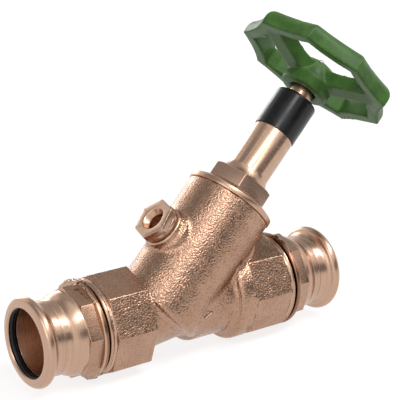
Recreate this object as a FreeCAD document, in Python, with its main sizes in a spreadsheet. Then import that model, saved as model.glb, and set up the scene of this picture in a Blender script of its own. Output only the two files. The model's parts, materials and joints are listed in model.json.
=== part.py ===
import FreeCAD, Part
import math
import os

import Sketcher
from FreeCAD import Placement, Rotation, Vector

# Free-flow valve for 28 mm tube: a cast body with its bonnet branch leaning at 45 degrees to the pipe run,
# a press socket screwed into each end, a drain plug on the branch and a spoked handwheel.
# The origin is on the axis of the run, at the tube stop of the inlet socket. +X is the direction of flow, the
# branch leans towards +X in the XZ plane, and the drain boss faces up and upstream.
# All sizes are in millimetres. Stations are counted from the crossing, the point where the axis of the branch
# meets the axis of the run, and "reach" is measured from there too.

DIMENSIONS = {
    # cast body, run
    "branch_angle": (45, "lean of the branch from the run, degrees"),
    "body_flats": (41, "across flats of the body's octagons"),
    "octagon_length": (19.2, "length of a body octagon"),
    "inlet_reach": (36.4, "crossing to the inlet end face"),
    "outlet_reach": (60.5, "crossing to the outlet end face"),
    "end_ring_length": (3, "turned ring outside a body octagon"),
    "end_ring_radius": (20.6, "radius of the turned ring"),
    "end_ring_flat": (1, "straight part of the ring, before its cove"),
    "end_ring_cove": (4, "radius of the cove between ring and octagon"),
    "end_ring_foot_radius": (19.3, "narrow end of that cove"),
    "edge_break": (0.7, "chamfer on turned edges"),
    "corner_break": (0.45, "how far a turned chamfer runs in from a polygon's corner"),
    "bonnet_corner_break": (1.3, "the same on the bonnet's hexagon"),
    "inlet_neck_radius": (15.7, "inlet neck beside its octagon"),
    "inlet_waist_radius": (13.6, "inlet neck where it meets the barrel"),
    "outlet_neck_radius": (16.9, "outlet neck"),
    "cup_radius": (20.9, "round cup before the outlet octagon"),
    "cup_length": (9.8, "length of that cup"),
    "run_bore_radius": (12.5, "flow bore"),
    "end_thread_radius": (15.2, "female end thread, drawn plain"),
    "end_thread_depth": (15.5, "depth of the end thread"),
    # cast body, branch
    "barrel_radius": (19.9, "outside of the barrel"),
    "barrel_foot": (2.5, "how far the barrel runs past the crossing"),
    "barrel_round": (2.6, "rounded foot of the barrel"),
    "barrel_top": (56.4, "station of the barrel's top face"),
    "chamber_radius": (16.3, "inside of the barrel"),
    "seat_station": (8.5, "station of the seat's face"),
    "seat_width": (1.6, "width of the seat's face"),
    "seat_rise": (1.5, "height of the seat above the chamber's floor"),
    "bonnet_thread_radius": (17, "bonnet thread, drawn plain"),
    "bonnet_thread_length": (14.4, "length of the bonnet thread"),
    # drain boss and plug
    "boss_station": (28.3, "station of the drain boss"),
    "boss_face": (22.6, "branch axis to the boss face"),
    "boss_radius": (9.5, "radius of the boss face"),
    "boss_foot_radius": (11.2, "wider foot of the boss"),
    "boss_foot_reach": (19.7, "branch axis to the top of that foot"),
    "drain_thread_radius": (5.8, "drain thread, drawn plain"),
    "plug_seal_thickness": (1, "thickness of the plug's seal"),
    "plug_seal_radius": (8.4, "outside of the plug's seal"),
    "plug_collar_radius": (8.9, "collar under the plug's hexagon"),
    "plug_collar_length": (1.7, "length of that collar"),
    "plug_flats": (17, "across flats of the plug"),
    "plug_hex_length": (3.2, "length of the plug's hexagon"),
    "plug_mouth_radius": (5.4, "wide end of the plug's blind bore"),
    "plug_mouth_depth": (2.8, "depth of its countersink"),
    "plug_bore_radius": (3.8, "narrow end of the blind bore"),
    "plug_bore_depth": (8, "depth of the blind bore"),
    "plug_shank_length": (6.8, "length of the plug's thread"),
    # press adapters
    "seal_gap": (0.8, "body face to adapter collar"),
    "seal_seat_radius": (17.2, "adapter shoulder inside the seal"),
    "thread_seal_cord": (0.7, "cord of the seal in that gap"),
    "collar_radius": (20.9, "adapter collar"),
    "collar_length": (2.2, "length of the collar"),
    "adapter_flats": (36.2, "across flats of the adapter octagon"),
    "adapter_octagon_length": (5.8, "length of the adapter octagon"),
    "adapter_turn": (4, "turn of the adapter octagon from the body's, degrees"),
    "shoulder_length": (5, "rounded shoulder between octagon and socket"),
    "shoulder_radius": (17.9, "wide end of the shoulder"),
    "shoulder_cove": (3, "cove from the shoulder to the socket"),
    "socket_radius": (15.85, "outside of the press socket"),
    "socket_length": (14.5, "cone to the mouth of the socket"),
    "scribe_depth": (0.12, "line turned round the socket"),
    "bead_radius": (2.3, "radius of the rolled bead"),
    "bead_centre_radius": (16.8, "socket axis to the middle of the bead"),
    "bead_cove": (3, "cove from the socket to the bead"),
    "lip_length": (0.3, "lip in front of the bead"),
    "mouth_radius": (15.1, "opening of the mouth"),
    "tube_radius": (14, "outside of the tube that the socket takes"),
    "socket_gap": (0.15, "clearance round that tube"),
    "socket_depth": (24, "mouth to tube stop"),
    "ring_cord": (2.9, "cord of the socket ring"),
    "ring_clearance": (0.2, "socket ring to tube"),
    # bonnet
    "flange_radius": (20.3, "bonnet flange"),
    "flange_length": (2.2, "straight part of the flange"),
    "flange_cone_length": (2.3, "sloping top of the flange"),
    "bonnet_flats": (27, "across flats of the bonnet"),
    "bonnet_hex_length": (7, "length of the bonnet hexagon"),
    "bonnet_turn": (8.5, "turn of the bonnet hexagon, degrees"),
    "flare_radius": (11.8, "bonnet above the hexagon"),
    "flare_length": (5, "flare from the hexagon to the neck"),
    "neck_radius": (9.4, "bonnet neck"),
    "neck_end_station": (93.8, "station where the sleeve begins"),
    "tail_radius": (8.4, "neck inside the sleeve"),
    "tail_end_station": (110.6, "station of the neck's end"),
    "guide_flats": (18, "hexagonal guide inside the bonnet"),
    "guide_end_station": (65.5, "station of the guide's top"),
    "bonnet_ring_cord": (1.9, "cord of the bonnet seal"),
    # sleeve and spindle
    "sleeve_radius": (9.8, "outside of the neck sleeve"),
    "sleeve_end_station": (112.9, "station of the sleeve's top"),
    "sleeve_round": (1.4, "rounded top edge of the sleeve"),
    "wiper_radius": (6.9, "outside of the wiper ring"),
    "wiper_length": (1.7, "length of the wiper ring"),
    "journal_radius": (5.3, "smooth part of the spindle"),
    "screw_radius": (5, "spindle thread, drawn plain"),
    "running_gap": (0.05, "radial clearance of turning fits"),
    "slip_gap": (0.1, "clearance of sliding guides"),
    "thread_gap": (0.05, "radial clearance of screwed joints"),
    "spindle_foot_station": (40, "station of the spindle's lower end"),
    "thrust_station": (89, "station of the shoulder that holds the spindle"),
    "thrust_collar_radius": (7, "spindle collar"),
    "thrust_collar_length": (2.5, "length of the spindle collar"),
    "thrust_washer_thickness": (0.5, "washer above that collar"),
    "spindle_ring_cord": (2, "cord of the spindle seals"),
    "first_ring_station": (94, "station of the lower spindle seal"),
    "ring_spacing": (5, "distance between the spindle seals"),
    "bush_radius": (7, "outside of the spindle bush"),
    "bush_length": (6.4, "length of the spindle bush"),
    "square_station": (121, "station where the spindle's square begins"),
    "square_flats": (7.4, "across flats of the square"),
    "square_length": (10, "length of the square"),
    # closing disc
    "disc_lift": (20, "travel of the closing disc"),
    "seat_gap": (0.1, "seat disc to seat when closed"),
    "seat_disc_radius": (14.4, "outside of the seat disc"),
    "seat_disc_thickness": (3, "thickness of the seat disc"),
    "head_radius": (14.7, "head of the disc carrier"),
    "head_length": (4.9, "length of that head"),
    "spigot_radius": (5, "spigot that centres the seat disc"),
    "guide_length": (28.5, "hexagonal part of the disc carrier"),
    "carrier_tube_radius": (7, "tube of the disc carrier"),
    "carrier_end_station": (56, "station of the carrier's top when closed"),
    "carrier_bore_station": (18, "station of the floor of the carrier's bore"),
    "disc_washer_radius": (9.5, "washer under the seat disc"),
    "disc_washer_thickness": (2, "thickness of that washer"),
    "disc_screw_radius": (3, "screw that holds the seat disc"),
    "disc_screw_flats": (10, "across flats of its head"),
    "disc_screw_head": (3.5, "length of its head"),
    "disc_screw_length": (9, "length of its shank"),
    # handwheel
    "rim_station": (126.5, "station of the rim's underside"),
    "rim_height": (9.2, "height of the rim"),
    "rim_radius": (37.6, "axis to a corner of the rim"),
    "rim_width": (6, "radial width of the rim at a corner"),
    "rim_sides": (9, "sides of the rim"),
    "scallop": (1.3, "how far each side is hollowed for the fingers"),
    "rim_round": (5.5, "rounding of the rim's top outer edge"),
    "wheel_turn": (55, "turn of the wheel about the branch, degrees"),
    "spoke_count": (3, "number of spokes"),
    "spoke_width": (10.2, "width of a spoke's underside"),
    "spoke_flare": (0.5, "how much wider each side of a spoke is at its top"),
    "spoke_hub_station": (121.6, "underside of a spoke at the hub"),
    "spoke_rim_station": (127.3, "underside of a spoke at the rim"),
    "spoke_hub_height": (9, "height of a spoke at the hub"),
    "spoke_rim_height": (6.2, "height of a spoke at the rim"),
    "gusset_station": (128, "underside of the curved gussets between spoke and rim"),
    "gusset_thickness": (4.6, "thickness of a gusset"),
    "gusset_start": (15, "axis to where a gusset leaves its spoke"),
    "gusset_spread": (11.5, "middle of a spoke to the far end of its gusset"),
    "gusset_hollow": (12, "radius of a gusset's curved edge"),
    "hub_station": (117.3, "station of the hub's underside"),
    "hub_radius": (11.4, "lower collar of the hub"),
    "hub_collar_length": (5.8, "length of that collar"),
    "hub_waist_radius": (9.8, "hub above the collar"),
    "hub_top_radius": (7.6, "hub at its top"),
    "hub_top_station": (131.3, "station of the hub's top"),
    "hub_mouth_radius": (6.3, "recess round the spindle"),
    "hub_mouth_depth": (3.2, "depth of that recess"),
    "wheel_washer_radius": (5.2, "washer under the wheel screw"),
    "wheel_washer_thickness": (0.8, "thickness of that washer"),
    "wheel_screw_radius": (2.5, "wheel screw, drawn plain"),
    "wheel_screw_length": (10, "length of its shank in the spindle"),
    "wheel_screw_head_radius": (4.6, "domed head of the wheel screw"),
    "wheel_screw_head_height": (3.1, "height of that head"),
    "recess_flats": (3, "hexagonal recess in the screw head"),
    "recess_depth": (1.8, "depth of that recess"),
    # flow arrow
    "arrow_length": (4, "flow arrow, along the run"),
    "arrow_height": (3.6, "flow arrow, round the run"),
    "arrow_stroke": (0.9, "width of its strokes"),
    "arrow_rise": (0.7, "how far it stands up"),
    "arrow_station": (17.4, "station of its tip along the run"),
    "arrow_turn": (3.5, "how far round below the front it sits, degrees"),
}


class Size:
    """A number kept together with the expression that gives it in the document."""

    def __init__(self, text, number):
        self.text = text
        self.number = number

    def __add__(self, other):
        other = size(other)
        return Size(f"({self.text} + {other.text})", self.number + other.number)

    def __sub__(self, other):
        other = size(other)
        return Size(f"({self.text} - {other.text})", self.number - other.number)

    def __mul__(self, other):
        other = size(other)
        return Size(f"({self.text} * {other.text})", self.number * other.number)

    def __truediv__(self, other):
        other = size(other)
        return Size(f"({self.text} / {other.text})", self.number / other.number)

    def __neg__(self):
        return Size(f"(0 - {self.text})", -self.number)

    __radd__ = __add__
    __rmul__ = __mul__

    def __rsub__(self, other):
        return size(other) - self


def size(value):
    if isinstance(value, Size):
        return value
    return Size(str(value), float(value))


def cosine(angle):
    angle = size(angle)
    return Size(f"cos({angle.text} * 1 deg)", math.cos(math.radians(angle.number)))


def sine(angle):
    angle = size(angle)
    return Size(f"sin({angle.text} * 1 deg)", math.sin(math.radians(angle.number)))


document = FreeCAD.newDocument("FreeFlowValve")
sheet = document.addObject("Spreadsheet::Sheet", "Sizes")
for row, (alias, (number, note)) in enumerate(DIMENSIONS.items(), start=1):
    sheet.set(f"A{row}", alias)
    sheet.set(f"B{row}", str(number))
    sheet.set(f"C{row}", note)
    sheet.setAlias(f"B{row}", alias)
document.recompute()


def dim(alias):
    return Size(f"Sizes.{alias}", float(DIMENSIONS[alias][0]))


pieces = []


def new_piece(name):
    """A body of its own, which becomes one part file."""
    body = document.addObject("PartDesign::Body", name)
    body.Label = name
    pieces.append(body)
    return body


def stand(body, x, z=None, turn=None):
    """Moves a piece to x and z, counted from the crossing, and turns it about Y by degrees."""
    x = crossing + x
    z = size(0) if z is None else z
    turn = size(0) if turn is None else turn
    body.Placement = Placement(Vector(x.number, 0, z.number), Rotation(Vector(0, 1, 0), turn.number))
    body.setExpression("Placement.Base.x", x.text)
    body.setExpression("Placement.Base.z", z.text)
    body.setExpression("Placement.Rotation.Angle", f"{turn.text} * 1 deg")


def on_branch(body):
    """Stands a piece that was drawn along Z on the axis of the branch."""
    stand(body, size(0), turn=90 - dim("branch_angle"))


def new_sketch(body, name, plane, lift=None, base=None, angle=None):
    """A sketch on one of the body's own origin planes, lifted, moved or turned in that plane."""
    sketch = body.newObject("Sketcher::SketchObject", name)
    plane_object = next(item for item in body.Origin.OriginFeatures if item.Role == plane)
    sketch.AttachmentSupport = (plane_object, [""])
    sketch.MapMode = "FlatFace"
    start = Vector(0, 0, 0)
    if base is not None:
        start.x, start.y = base[0].number, base[1].number
    if lift is not None:
        start.z = lift.number
    turn = 0 if angle is None else angle.number
    sketch.AttachmentOffset = Placement(start, Rotation(Vector(0, 0, 1), turn))
    if base is not None:
        sketch.setExpression("AttachmentOffset.Base.x", base[0].text)
        sketch.setExpression("AttachmentOffset.Base.y", base[1].text)
    if lift is not None:
        sketch.setExpression("AttachmentOffset.Base.z", lift.text)
    if angle is not None:
        sketch.setExpression("AttachmentOffset.Rotation.Angle", f"{angle.text} * 1 deg")
    return sketch


def arc_between(start, end, radius, centre_on_left):
    """The arc from start to end, and whether it runs clockwise."""
    middle = (start + end) / 2
    half = (end - start).Length / 2
    along = (end - start).normalize()
    left = Vector(-along.y, along.x, 0)
    reach = math.sqrt(max(radius * radius - half * half, 0))
    centre = middle + left * (reach if centre_on_left else -reach)
    first, last = (start, end) if centre_on_left else (end, start)
    begin = math.atan2(first.y - centre.y, first.x - centre.x)
    finish = math.atan2(last.y - centre.y, last.x - centre.x)
    if finish < begin:
        finish += 2 * math.pi
    return Part.ArcOfCircle(Part.Circle(centre, Vector(0, 0, 1), radius), begin, finish), not centre_on_left


def draw(sketch, outline):
    """Draws a closed outline. Each corner is (x, y), or (x, y, radius) where the edge that leaves it is an arc.

    A positive radius has its centre on the left of the way the outline runs, a negative one on the right.
    """
    corners = [(size(corner[0]), size(corner[1])) for corner in outline]
    radii = [size(corner[2]) if len(corner) > 2 else None for corner in outline]
    spots = [Vector(x.number, y.number, 0) for x, y in corners]
    count = len(outline)
    starts, ends = [], []
    first = sketch.GeometryCount
    for index in range(count):
        here, after, radius = spots[index], spots[(index + 1) % count], radii[index]
        if radius is None:
            sketch.addGeometry(Part.LineSegment(here, after), False)
            starts.append(1)
            ends.append(2)
            continue
        arc, clockwise = arc_between(here, after, abs(radius.number), radius.number > 0)
        sketch.addGeometry(arc, False)
        starts.append(2 if clockwise else 1)
        ends.append(1 if clockwise else 2)
    for index in range(count):
        after = (index + 1) % count
        sketch.addConstraint(
            Sketcher.Constraint("Coincident", first + index, ends[index], first + after, starts[after]))
    for index, (x, y) in enumerate(corners):
        spot = (first + index, starts[index])
        for value, kind, axis in ((x, "DistanceX", -2), (y, "DistanceY", -1)):
            if value.text == "0":
                sketch.addConstraint(Sketcher.Constraint("PointOnObject", spot[0], spot[1], axis))
                continue
            number = sketch.addConstraint(Sketcher.Constraint(kind, -1, 1, spot[0], spot[1], value.number))
            sketch.setExpression(f"Constraints[{number}]", value.text)
    for index, radius in enumerate(radii):
        if radius is None:
            continue
        number = sketch.addConstraint(Sketcher.Constraint("Radius", first + index, abs(radius.number)))
        text = radius.text if radius.number > 0 else f"0 - {radius.text}"
        sketch.setExpression(f"Constraints[{number}]", text)


def circle(sketch, radius, x=0, y=0):
    radius, x, y = size(radius), size(x), size(y)
    index = sketch.addGeometry(Part.Circle(Vector(x.number, y.number, 0), Vector(0, 0, 1), radius.number), False)
    number = sketch.addConstraint(Sketcher.Constraint("Radius", index, radius.number))
    sketch.setExpression(f"Constraints[{number}]", radius.text)
    for value, kind, axis in ((x, "DistanceX", -2), (y, "DistanceY", -1)):
        if value.text == "0":
            sketch.addConstraint(Sketcher.Constraint("PointOnObject", index, 3, axis))
            continue
        number = sketch.addConstraint(Sketcher.Constraint(kind, -1, 1, index, 3, value.number))
        sketch.setExpression(f"Constraints[{number}]", value.text)


def turn_profile(body, name, sketch, axis, cut=False):
    feature = body.newObject("PartDesign::Groove" if cut else "PartDesign::Revolution", name)
    feature.Profile = sketch
    feature.ReferenceAxis = (sketch, [axis])
    feature.Angle = 360
    return feature


def turned(body, name, outline, cut=False, lean=None, base=None):
    """Turns an outline of (station, radius) corners.

    With a lean, in degrees from the run, the axis lies in the XZ plane and starts at base. Without one the
    axis is the body's own Z axis.
    """
    if lean is None:
        sketch = new_sketch(body, name + "_outline", "XZ_Plane")
        outline = [(corner[1], corner[0]) + tuple(-size(radius) for radius in corner[2:]) for corner in outline]
        axis = "V_Axis"
    else:
        sketch = new_sketch(body, name + "_outline", "XZ_Plane", base=base, angle=lean)
        axis = "H_Axis"
    draw(sketch, outline)
    return turn_profile(body, name, sketch, axis, cut)


def ring(body, name, radius, cord, station):
    """A ring of round cord about the body's Z axis."""
    sketch = new_sketch(body, name + "_section", "XZ_Plane")
    circle(sketch, size(cord) / 2, radius, station)
    return turn_profile(body, name, sketch, "V_Axis")


def extruded(body, name, sketch, length, cut=False):
    """Carries a sketch along its own normal, and cuts with it where cut is set."""
    feature = body.newObject("PartDesign::Pocket" if cut else "PartDesign::Pad", name)
    feature.Profile = sketch
    feature.setExpression("Length", size(length).text)
    feature.Reversed = cut
    return feature


def regular(flats, sides, turn):
    """Corners of a regular polygon by its width across flats."""
    radius = size(flats) / 2 / cosine(size(180) / sides)
    return [(radius * cosine(size(turn) + 360 * index / sides), radius * sine(size(turn) + 360 * index / sides))
            for index in range(sides)]


def prism(body, name, plane, flats, sides, turn, start, length, cut=False):
    sketch = new_sketch(body, name + "_outline", plane, lift=size(start))
    draw(sketch, regular(flats, sides, turn))
    return extruded(body, name, sketch, length, cut)


def corner_cut(body, name, flats, sides, edge, inward, lean=None, rise=dim("corner_break")):
    """Turned chamfer that takes the corners off one end of a prism. inward is +1 or -1 along the axis."""
    corner = size(flats) / 2 / cosine(size(180) / sides)
    outline = [(edge, corner - rise), (edge + rise * inward * 1.2, corner + rise), (edge, corner + rise)]
    if inward < 0:
        outline.reverse()
    return turned(body, name, outline, cut=True, lean=lean)


def tilted_sketch(body, name, plane, axis, angle, reach):
    """A sketch turned about its own x or y axis, then moved out along its new normal."""
    sketch = new_sketch(body, name, plane)
    if axis == "x":
        base = (size(0), -(sine(angle) * reach), cosine(angle) * reach)
        direction = Vector(1, 0, 0)
    else:
        base = (sine(angle) * reach, size(0), cosine(angle) * reach)
        direction = Vector(0, 1, 0)
    sketch.AttachmentOffset = Placement(Vector(*[part.number for part in base]), Rotation(direction, angle.number))
    for letter, part in zip("xyz", base):
        if part.text != "0":
            sketch.setExpression(f"AttachmentOffset.Base.{letter}", part.text)
    sketch.setExpression("AttachmentOffset.Rotation.Angle", f"{angle.text} * 1 deg")
    return sketch


def around(body, name, features, count):
    """Repeats features round the body's Z axis."""
    pattern = body.newObject("PartDesign::PolarPattern", name)
    pattern.Originals = features
    axis = next(item for item in body.Origin.OriginFeatures if item.Role == "Z_Axis")
    pattern.Axis = (axis, [""])
    pattern.Angle = 360
    pattern.setExpression("Occurrences", size(count).text)
    body.Tip = pattern
    return pattern


RUN = size(0)
BRANCH = dim("branch_angle")

# Stations of an end fitting, from the body's end face outwards.
collar_end = dim("seal_gap") + dim("collar_length")
shoulder = collar_end + dim("adapter_octagon_length")
socket_start = shoulder + dim("shoulder_length")
mouth = socket_start + dim("socket_length")
bead = dim("bead_radius")
bead_station = mouth - dim("lip_length") - bead
tube_stop = mouth - dim("socket_depth")
crossing = dim("inlet_reach") + tube_stop

# Stations along the run that several pieces share.
inlet_octagon = dim("end_ring_length") - dim("inlet_reach")
inlet_octagon_end = inlet_octagon + dim("octagon_length")
outlet_octagon_end = dim("outlet_reach") - dim("end_ring_length")
outlet_octagon = outlet_octagon_end - dim("octagon_length")
cup_start = outlet_octagon - dim("cup_length")
core_radius = dim("body_flats") / 2 - 1.5

# Cast body: the run first, then the barrel of the branch and the drain boss, then every bore.
valve_body = new_piece("valve_body")
stand(valve_body, size(0))
ring_radius = dim("end_ring_radius")
edge = dim("edge_break")
waist = dim("inlet_waist_radius")
bulb = dim("outlet_neck_radius")
cup = dim("cup_radius")
turned(valve_body, "run", [
    (-dim("inlet_reach"), 0),
    (-dim("inlet_reach"), ring_radius - edge),
    (-dim("inlet_reach") + edge, ring_radius),
    (-dim("inlet_reach") + dim("end_ring_flat"), ring_radius, dim("end_ring_cove")),
    (inlet_octagon, dim("end_ring_foot_radius")),
    (inlet_octagon, core_radius),
    (inlet_octagon_end, core_radius),
    (inlet_octagon_end, dim("inlet_neck_radius") + 1.2, 1.8),
    (inlet_octagon_end + 1.8, dim("inlet_neck_radius")),
    (8, waist),
    (9.5, waist, -3.2),
    (9.5 + (bulb - waist), bulb),
    (cup_start, bulb, 3.2),
    (cup_start + 2.4, bulb + 2.2, -2.6),
    (cup_start + 4.9, cup),
    (outlet_octagon, cup),
    (outlet_octagon, core_radius),
    (outlet_octagon_end, core_radius),
    (outlet_octagon_end, dim("end_ring_foot_radius"), dim("end_ring_cove")),
    (dim("outlet_reach") - dim("end_ring_flat"), ring_radius),
    (dim("outlet_reach") - edge, ring_radius),
    (dim("outlet_reach"), ring_radius - edge),
    (dim("outlet_reach"), 0),
], lean=RUN)
for side, start, cut_at, inward in (("inlet", inlet_octagon, inlet_octagon, 1),
                                    ("outlet", outlet_octagon, outlet_octagon_end, -1)):
    prism(valve_body, f"{side}_octagon", "YZ_Plane", dim("body_flats"), 8, 0, start, dim("octagon_length"))
    corner_cut(valve_body, f"{side}_octagon_corners", dim("body_flats"), 8, cut_at, inward, lean=RUN)

barrel = dim("barrel_radius")
foot_round = dim("barrel_round")
turned(valve_body, "barrel", [
    (-dim("barrel_foot"), 0),
    (-dim("barrel_foot"), barrel - foot_round, -foot_round),
    (foot_round - dim("barrel_foot"), barrel),
    (dim("barrel_top") - edge, barrel),
    (dim("barrel_top"), barrel - edge),
    (dim("barrel_top"), 0),
], lean=BRANCH)

boss_base = (dim("boss_station") * cosine(BRANCH), dim("boss_station") * sine(BRANCH))
boss_lean = BRANCH + 90
boss = dim("boss_radius")
boss_foot = dim("boss_foot_radius")
turned(valve_body, "drain_boss", [
    (10, 0),
    (10, boss_foot + 0.6),
    (dim("boss_foot_reach") - edge, boss_foot),
    (dim("boss_foot_reach"), boss_foot - edge),
    (dim("boss_foot_reach") + edge, boss),
    (dim("boss_face") - edge, boss),
    (dim("boss_face"), boss - edge),
    (dim("boss_face"), 0),
], lean=boss_lean, base=boss_base)

arrow_root = bulb - 1
arrow_sketch = tilted_sketch(valve_body, "arrow_outline", "XZ_Plane", "x", dim("arrow_turn"), arrow_root)
tip = dim("arrow_station")
tail = tip - dim("arrow_length")
half_arrow = dim("arrow_height") / 2
draw(arrow_sketch, [
    (tip, 0),
    (tail, half_arrow),
    (tail - dim("arrow_stroke"), half_arrow),
    (tip - dim("arrow_stroke") * 1.5, 0),
    (tail - dim("arrow_stroke"), -half_arrow),
    (tail, -half_arrow),
])
extruded(valve_body, "flow_arrow", arrow_sketch, dim("arrow_rise") + 1)

bore = dim("run_bore_radius")
seat_foot = dim("seat_station") - dim("seat_rise")
thread_end = dim("barrel_top") - dim("bonnet_thread_length")
turned(valve_body, "chamber", [
    (dim("seat_station"), 0),
    (dim("seat_station"), bore + dim("seat_width")),
    (seat_foot, bore + dim("seat_width")),
    (seat_foot, dim("chamber_radius")),
    (thread_end, dim("chamber_radius")),
    (thread_end, dim("bonnet_thread_radius")),
    (dim("barrel_top"), dim("bonnet_thread_radius")),
    (dim("barrel_top") + 1, dim("bonnet_thread_radius")),
    (dim("barrel_top") + 1, 0),
], cut=True, lean=BRANCH)
turned(valve_body, "under_seat", [
    (-bore, 0, -bore),
    (0, bore),
    (dim("seat_station") + 1, bore),
    (dim("seat_station") + 1, 0),
], cut=True, lean=BRANCH)
end_thread = dim("end_thread_radius")
turned(valve_body, "inlet_bore", [
    (-dim("inlet_reach") - 1, 0),
    (-dim("inlet_reach") - 1, end_thread),
    (-dim("inlet_reach") + dim("end_thread_depth"), end_thread),
    (-dim("inlet_reach") + dim("end_thread_depth"), bore),
    (0, bore),
    (0, 0),
], cut=True, lean=RUN)
turned(valve_body, "outlet_bore", [
    (bore * 1.44, 0),
    (bore * 1.44, bore),
    (dim("outlet_reach") - dim("end_thread_depth"), bore),
    (dim("outlet_reach") - dim("end_thread_depth"), end_thread),
    (dim("outlet_reach") + 1, end_thread),
    (dim("outlet_reach") + 1, 0),
], cut=True, lean=RUN)
turned(valve_body, "drain_bore", [
    (5, 0),
    (5, dim("drain_thread_radius")),
    (dim("boss_face") + 1, dim("drain_thread_radius")),
    (dim("boss_face") + 1, 0),
], cut=True, lean=boss_lean, base=boss_base)

# The two ends are alike, so one loop draws both. Each is drawn along Z from the body's end face outwards.
socket_bore = dim("tube_radius") + dim("socket_gap")
ring_middle = dim("tube_radius") + dim("ring_clearance") + dim("ring_cord") / 2
ring_groove = ring_middle + dim("ring_cord") / 2 + 0.05
ring_half_width = dim("ring_cord") / 2 + 0.2
neck = dim("socket_radius")
scribe = dim("scribe_depth")
scribe_station = socket_start + 4.6
spigot = end_thread - dim("thread_gap")


def stand_at_end(body, reach, way):
    """Places a piece drawn along Z at an end of the run. way is +1 for the outlet, -1 for the inlet."""
    stand(body, reach * way, turn=size(way * 90))


for side, reach, way in (("inlet", dim("inlet_reach"), -1), ("outlet", dim("outlet_reach"), 1)):
    adapter = new_piece(f"{side}_adapter")
    stand_at_end(adapter, reach, way)
    turned(adapter, "outside", [
        (1 - dim("end_thread_depth"), bore),
        (1 - dim("end_thread_depth"), spigot - edge),
        (1 - dim("end_thread_depth") + edge, spigot),
        (0, spigot),
        (0, dim("seal_seat_radius")),
        (dim("seal_gap"), dim("seal_seat_radius")),
        (dim("seal_gap"), dim("collar_radius") - edge, -edge),
        (dim("seal_gap") + edge, dim("collar_radius")),
        (collar_end - edge, dim("collar_radius"), -edge),
        (collar_end, dim("collar_radius") - edge),
        (collar_end, dim("adapter_flats") / 2 - 0.5),
        (shoulder, dim("adapter_flats") / 2 - 0.5),
        (shoulder, dim("shoulder_radius"), -(dim("shoulder_length") * 1.8)),
        (shoulder + dim("shoulder_length") * 0.7, dim("shoulder_radius") - 0.7),
        (socket_start + 0.3, neck + 0.5, dim("shoulder_cove")),
        (socket_start + 1.9, neck),
        (scribe_station - 0.2, neck),
        (scribe_station, neck - scribe),
        (scribe_station + 0.2, neck),
        (bead_station - (bead + dim("bead_cove")) * cosine(22.5), neck, dim("bead_cove")),
        (bead_station - bead * cosine(22.5), dim("bead_centre_radius") + bead * sine(22.5), -bead),
        (bead_station, dim("bead_centre_radius") + bead, -bead),
        (bead_station + bead, dim("bead_centre_radius")),
        (mouth, dim("mouth_radius") + 0.7),
        (mouth, dim("mouth_radius")),
        (mouth - 0.6, socket_bore + 0.4),
        (bead_station + ring_half_width, socket_bore + 0.4),
        (bead_station + ring_half_width, ring_groove),
        (bead_station - ring_half_width, ring_groove),
        (bead_station - ring_half_width, socket_bore),
        (tube_stop, socket_bore),
        (tube_stop, bore),
    ])
    turn = -(dim("adapter_turn") * way)
    flats = dim("adapter_flats")
    prism(adapter, "octagon", "XY_Plane", flats, 8, turn, collar_end, dim("adapter_octagon_length"))
    corner_cut(adapter, "octagon_corners", flats, 8, shoulder, -1)
    turned(adapter, "waterway", [
        (collar_end - 2, 0),
        (collar_end - 2, bore),
        (tube_stop, bore),
        (tube_stop, socket_bore),
        (shoulder + 2, socket_bore),
        (shoulder + 2, 0),
    ], cut=True)

    thread_seal = new_piece(f"{side}_thread_seal")
    stand_at_end(thread_seal, reach, way)
    cord = dim("thread_seal_cord")
    ring(thread_seal, "cord", dim("seal_seat_radius") + cord / 2 + 0.05, cord, dim("seal_gap") / 2)

    socket_ring = new_piece(f"{side}_socket_ring")
    stand_at_end(socket_ring, reach, way)
    ring(socket_ring, "cord", ring_middle, dim("ring_cord"), bead_station)

# Drain plug and its seal, drawn along Z from the axis of the branch and stood on the boss.
plug_collar = dim("boss_face") + dim("plug_seal_thickness")
plug_hexagon = plug_collar + dim("plug_collar_length")
plug_end = plug_hexagon + dim("plug_hex_length")


def stand_on_boss(body):
    stand(body, boss_base[0], boss_base[1], BRANCH - 90)


drain_plug = new_piece("drain_plug")
stand_on_boss(drain_plug)
plug_shank = dim("drain_thread_radius") - dim("thread_gap")
turned(drain_plug, "turned_part", [
    (plug_collar - dim("plug_shank_length"), 0),
    (plug_collar - dim("plug_shank_length"), plug_shank - edge),
    (plug_collar - dim("plug_shank_length") + edge, plug_shank),
    (plug_collar, plug_shank),
    (plug_collar, dim("plug_collar_radius")),
    (plug_hexagon, dim("plug_collar_radius")),
    (plug_hexagon, 0),
])
prism(drain_plug, "hexagon", "XY_Plane", dim("plug_flats"), 6, 13, plug_hexagon, dim("plug_hex_length"))
corner_cut(drain_plug, "hexagon_corners", dim("plug_flats"), 6, plug_end, -1)
turned(drain_plug, "blind_bore", [
    (plug_end - dim("plug_bore_depth"), 0),
    (plug_end - dim("plug_bore_depth"), dim("plug_bore_radius")),
    (plug_end - dim("plug_mouth_depth"), dim("plug_bore_radius")),
    (plug_end, dim("plug_mouth_radius")),
    (plug_end + 1, dim("plug_mouth_radius")),
    (plug_end + 1, 0),
], cut=True)


def flat_ring(name, place, inside, outside, start, length):
    """A flat washer, bush or ring of square section."""
    body = new_piece(name)
    place(body)
    turned(body, "section", [
        (start, inside),
        (start, outside),
        (start + length, outside),
        (start + length, inside),
    ])
    return body


flat_ring("drain_plug_seal", stand_on_boss, plug_shank + dim("thread_gap"), dim("plug_seal_radius"),
          dim("boss_face"), dim("plug_seal_thickness"))

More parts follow.
